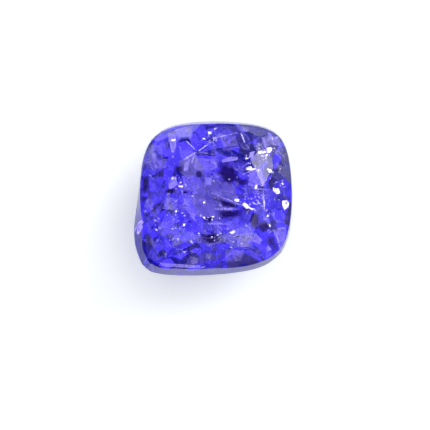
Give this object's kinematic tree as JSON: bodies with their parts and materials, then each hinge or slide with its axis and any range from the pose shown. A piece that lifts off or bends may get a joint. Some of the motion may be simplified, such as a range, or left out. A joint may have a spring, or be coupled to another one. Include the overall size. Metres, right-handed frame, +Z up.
{
  "type": "cushion-cut tanzanite",
  "caption": "Loose faceted violet-blue gemstone, rounded-square cushion cut with a thick slanted girdle and a flat culet.",
  "frame": {"origin": "bottom centre: below the middle of the outline, level with the culet's flat", "axes": "+Z up through the table; +X to the stone's right and +Y to its back side, as seen table up in the picture with its top edge as the back"},
  "size_m": [0.008, 0.0078, 0.0048],
  "materials": {
    "tanzanite": "polished"
  },
  "bodies": {
    "root": {"tanzanite": "tanzanite"}
  },
  "joints": []
}
